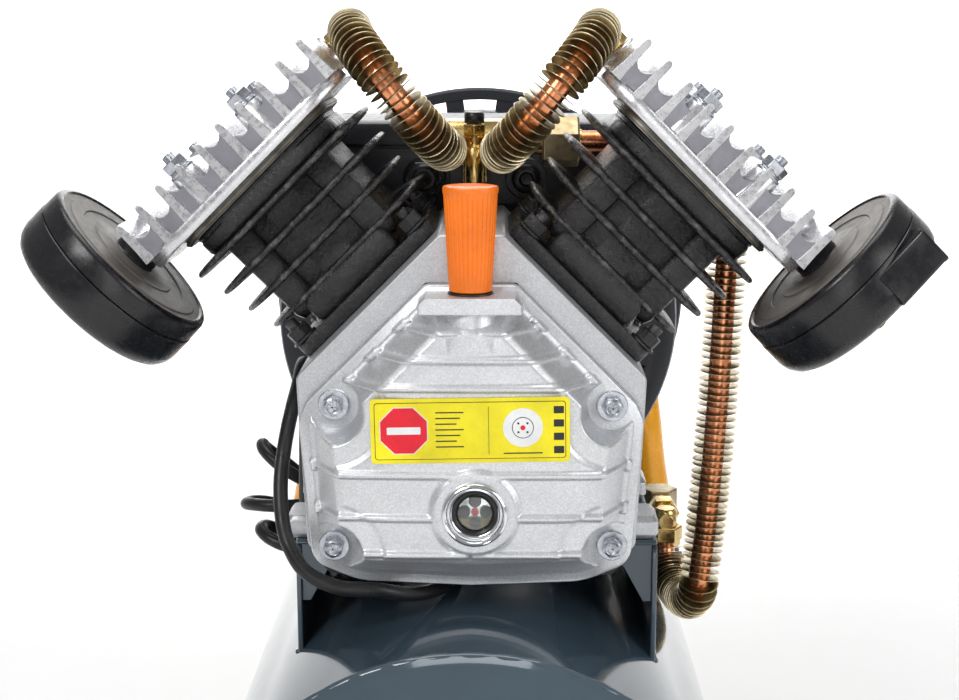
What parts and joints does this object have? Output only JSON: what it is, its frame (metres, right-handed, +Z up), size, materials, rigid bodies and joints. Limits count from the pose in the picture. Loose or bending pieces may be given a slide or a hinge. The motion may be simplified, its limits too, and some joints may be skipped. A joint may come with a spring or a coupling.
{
  "type": "v-twin air compressor",
  "caption": "Portable oil-lubricated V-twin piston air compressor with a direct-drive motor on a horizontal wheeled air receiver.",
  "frame": {"origin": "on the floor under the middle of the object's box", "axes": "+X to the right seen from the pump end, +Y from the pump end to the handle end, +Z up"},
  "size_m": [0.5226, 0.8, 0.6737],
  "materials": {
    "tank_paint": "glossy slate-blue enamel",
    "rubber": "matte",
    "zinc": "bright zinc plate",
    "hub_plastic": "satin moulded",
    "tyre": "matte",
    "orange_paint": "glossy",
    "cast_alloy": "fine sand-cast sparkle",
    "gasket": "matte",
    "label": "gloss",
    "chrome": "polished",
    "glass": "clear with oil behind",
    "orange_plastic": "semi-gloss moulded",
    "black_iron": "rough black enamel with worn fin edges",
    "plate_steel": "dull with oil stain",
    "head_alloy": "bright die-cast",
    "steel": "machined",
    "winding": "varnished copper",
    "fan_plastic": "satin",
    "cowl_plastic": "blue-black textured",
    "filter_plastic": "satin moulded",
    "pipe_black": "black",
    "filter_media": "pleated",
    "brass": "machined",
    "copper": "bright drawn",
    "fin_brass": "tarnished with bright edges",
    "switch_plastic": "satin",
    "red_plastic": "semi-gloss",
    "lead_rubber": "satin sheath"
  },
  "bodies": {
    "compressor": {"tank_shell": "tank_paint", "tank_ends": "tank_paint", "saddle_rails": "tank_paint", "chassis_brackets": "tank_paint", "rubber_feet": "rubber", "axle_bolts": "zinc", "push_handle": "orange_paint", "handle_grip": "rubber", "crankcase": "cast_alloy", "cover_gasket": "gasket", "front_cover": "cast_alloy", "cover_bolts": "zinc", "label_plate": "label", "sight_glass_ring": "chrome", "sight_glass_lens": "glass", "left_cylinder": "black_iron", "right_cylinder": "black_iron", "cylinder_nuts": "black_iron", "valve_plates": "plate_steel", "left_head": "head_alloy", "right_head": "head_alloy", "head_bolts": "zinc", "pistons": "head_alloy", "con_rods": "steel", "crank_web": "steel", "main_bearing": "steel", "motor_housing": "head_alloy", "stator": "winding", "fan_cowl": "cowl_plastic", "terminal_box": "cowl_plastic", "cable_gland": "cowl_plastic", "inlet_pipes": "pipe_black", "filter_cases": "filter_plastic", "filter_covers": "filter_plastic", "filter_elements": "filter_media", "filter_studs": "brass", "left_tube": "copper", "right_tube": "copper", "discharge_tube": "copper", "tube_fins": "fin_brass", "pipe_fittings": "brass", "safety_valve": "brass", "check_valve": "brass", "pressure_switch": "switch_plastic", "air_outlet": "brass", "drain_valve": "brass", "motor_lead": "lead_rubber"},
    "left_wheel": {"left_wheel_hub": "hub_plastic", "left_tyre": "tyre"},
    "right_wheel": {"right_wheel_hub": "hub_plastic", "right_tyre": "tyre"},
    "motor_rotor": {"rotor": "steel", "cooling_fan": "fan_plastic"},
    "filler_plug": {"oil_plug": "orange_plastic"},
    "overload_button": {"reset_button": "cowl_plastic"},
    "switch_knob_body": {"switch_knob": "red_plastic"},
    "regulator_knob_body": {"regulator_knob": "switch_plastic"},
    "needle": {"gauge_needle": "switch_plastic"},
    "relief_cap": {"safety_cap": "cowl_plastic"},
    "drain_tap_body": {"drain_tap": "brass"}
  },
  "joints": [
    {"name": "left_wheel_spin", "type": "hinge", "parent": "compressor", "child": "left_wheel", "pos_m": [-0.194, -0.265, 0.1], "axis": [1, 0, 0], "continuous": true},
    {"name": "right_wheel_spin", "type": "hinge", "parent": "compressor", "child": "right_wheel", "pos_m": [0.194, -0.265, 0.1], "axis": [1, 0, 0], "continuous": true},
    {"name": "rotor_spin", "type": "hinge", "parent": "compressor", "child": "motor_rotor", "pos_m": [0, -0.055, 0.464], "axis": [0, 1, 0], "continuous": true},
    {"name": "filler_plug_lift", "type": "slide", "parent": "compressor", "child": "filler_plug", "axis": [0, 0, 1], "range_m": [0, 0.03]},
    {"name": "overload_button_press", "type": "slide", "parent": "compressor", "child": "overload_button", "axis": [0, 1, 0], "range_m": [0, 0.0025], "stiffness_N_per_m": 400},
    {"name": "switch_knob_pull", "type": "slide", "parent": "compressor", "child": "switch_knob_body", "axis": [0, 0, 1], "range_m": [0, 0.008]},
    {"name": "regulator_knob_turn", "type": "hinge", "parent": "compressor", "child": "regulator_knob_body", "pos_m": [0.052, 0.215, 0.415], "axis": [0, 0, 1], "range_deg": [-270, 270]},
    {"name": "gauge_needle_swing", "type": "hinge", "parent": "compressor", "child": "needle", "pos_m": [0.052, 0.253, 0.391], "axis": [0, -1, 0], "range_deg": [0, 270]},
    {"name": "relief_cap_pull", "type": "slide", "parent": "compressor", "child": "relief_cap", "axis": [0, 0, 1], "range_m": [0, 0.003], "stiffness_N_per_m": 2000},
    {"name": "drain_tap_turn", "type": "hinge", "parent": "compressor", "child": "drain_tap_body", "pos_m": [0, 0.045, 0.034], "axis": [0, 0, 1], "range_deg": [0, 90]}
  ]
}
